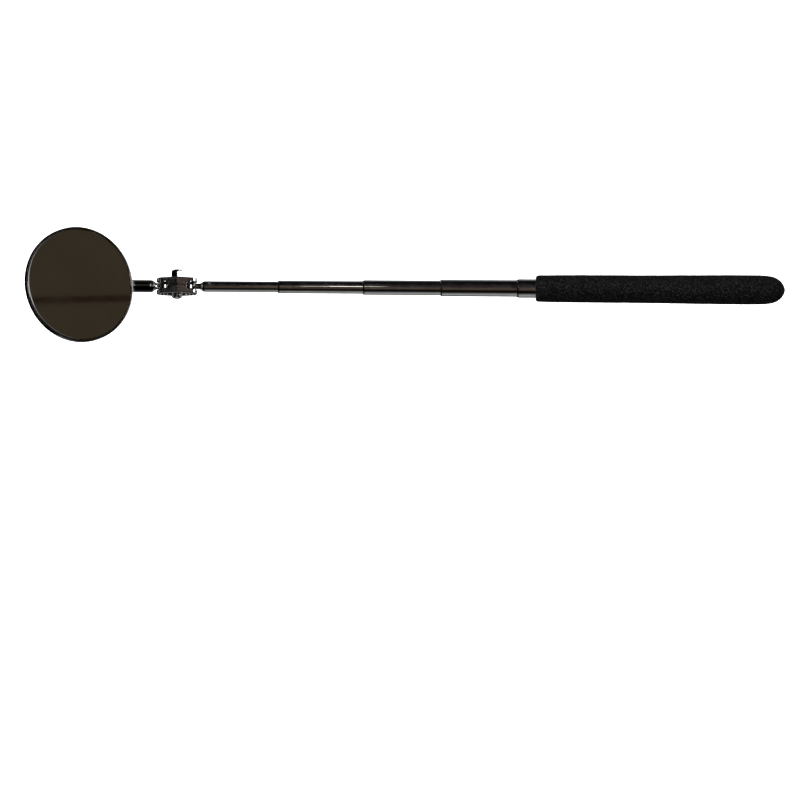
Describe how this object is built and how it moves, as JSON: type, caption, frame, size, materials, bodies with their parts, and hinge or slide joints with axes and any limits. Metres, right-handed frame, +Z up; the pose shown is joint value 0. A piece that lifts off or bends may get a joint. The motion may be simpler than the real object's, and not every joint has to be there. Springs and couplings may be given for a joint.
{
  "type": "telescoping inspection mirror",
  "caption": "Round inspection mirror on a double ball joint, at the end of a chromed telescoping rod with a soft black grip.",
  "frame": {"origin": "under the middle of the whole tool, at the level of the grip's lowest line, the rod drawn out", "axes": "+X along the rod from the mirror to the grip, +Z up, the way the mirror looks"},
  "size_m": [0.3736, 0.0568, 0.0439],
  "materials": {
    "chrome_tube": "bright chrome plate",
    "chrome_clamp": "bright chrome plate",
    "chrome_hardware": "bright chrome plate",
    "chrome_ball": "polished chrome plate",
    "chrome_head": "bright chrome plate",
    "plain_steel": "plated, unpolished",
    "spring_bronze": "dull spring bronze",
    "mirror_silver": "back-silvered glass",
    "pad": "matte foam pad",
    "nylon": "translucent nylon",
    "grip_foam": "matte, finely pebbled"
  },
  "bodies": {
    "handle": {"grip": "grip_foam", "outer_tube": "chrome_tube", "stop_plug": "plain_steel"},
    "rod_4": {"tube_4": "chrome_tube", "friction_sleeve_4": "spring_bronze"},
    "rod_3": {"tube_3": "chrome_tube", "friction_sleeve_3": "spring_bronze"},
    "rod_2": {"tube_2": "chrome_tube", "friction_sleeve_2": "spring_bronze"},
    "rod_1": {"tube_1": "chrome_tube", "friction_sleeve_1": "spring_bronze", "ball_stud": "chrome_ball", "crimp_pin": "plain_steel"},
    "rod_ball": {"handle_ball": "chrome_ball"},
    "clamp": {"clamp_plate_nut_side": "chrome_clamp", "clamp_plate_head_side": "chrome_clamp", "clamp_screw": "chrome_hardware", "clamp_nut": "chrome_hardware", "nut_insert": "nylon"},
    "head_ball": {"mirror_ball": "chrome_ball"},
    "mirror_head": {"mirror_stem": "chrome_head", "stem_saddle": "plain_steel", "stem_rivet": "plain_steel", "mirror_case": "chrome_head", "mirror_cushion": "pad", "mirror_glass": "mirror_silver"}
  },
  "joints": [
    {"name": "tube_4_slide", "type": "slide", "parent": "handle", "child": "rod_4", "axis": [1, 0, 0], "range_m": [0, 0.0362]},
    {"name": "tube_3_slide", "type": "slide", "parent": "rod_4", "child": "rod_3", "axis": [1, 0, 0], "range_m": [0, 0.0368]},
    {"name": "tube_2_slide", "type": "slide", "parent": "rod_3", "child": "rod_2", "axis": [1, 0, 0], "range_m": [0, 0.0404]},
    {"name": "tube_1_slide", "type": "slide", "parent": "rod_2", "child": "rod_1", "axis": [1, 0, 0], "range_m": [0, 0.0298]},
    {"name": "rod_ball_turn", "type": "hinge", "parent": "rod_1", "child": "rod_ball", "pos_m": [-0.10592, -0.00048, 0.0074], "axis": [1, 0, 0], "range_deg": [-180, 180]},
    {"name": "rod_ball_swing", "type": "hinge", "parent": "rod_ball", "child": "clamp", "pos_m": [-0.10592, -0.00048, 0.0074], "axis": [0, 0.9781, -0.2079], "range_deg": [-82, 82]},
    {"name": "mirror_ball_swing", "type": "hinge", "parent": "clamp", "child": "head_ball", "pos_m": [-0.11857, -0.00048, 0.0074], "axis": [0, 0.9781, -0.2079], "range_deg": [-106.4, 57.6]},
    {"name": "mirror_ball_turn", "type": "hinge", "parent": "head_ball", "child": "mirror_head", "pos_m": [-0.11857, -0.00048, 0.0074], "axis": [-0.907, 0, 0.421], "range_deg": [-180, 180]}
  ]
}
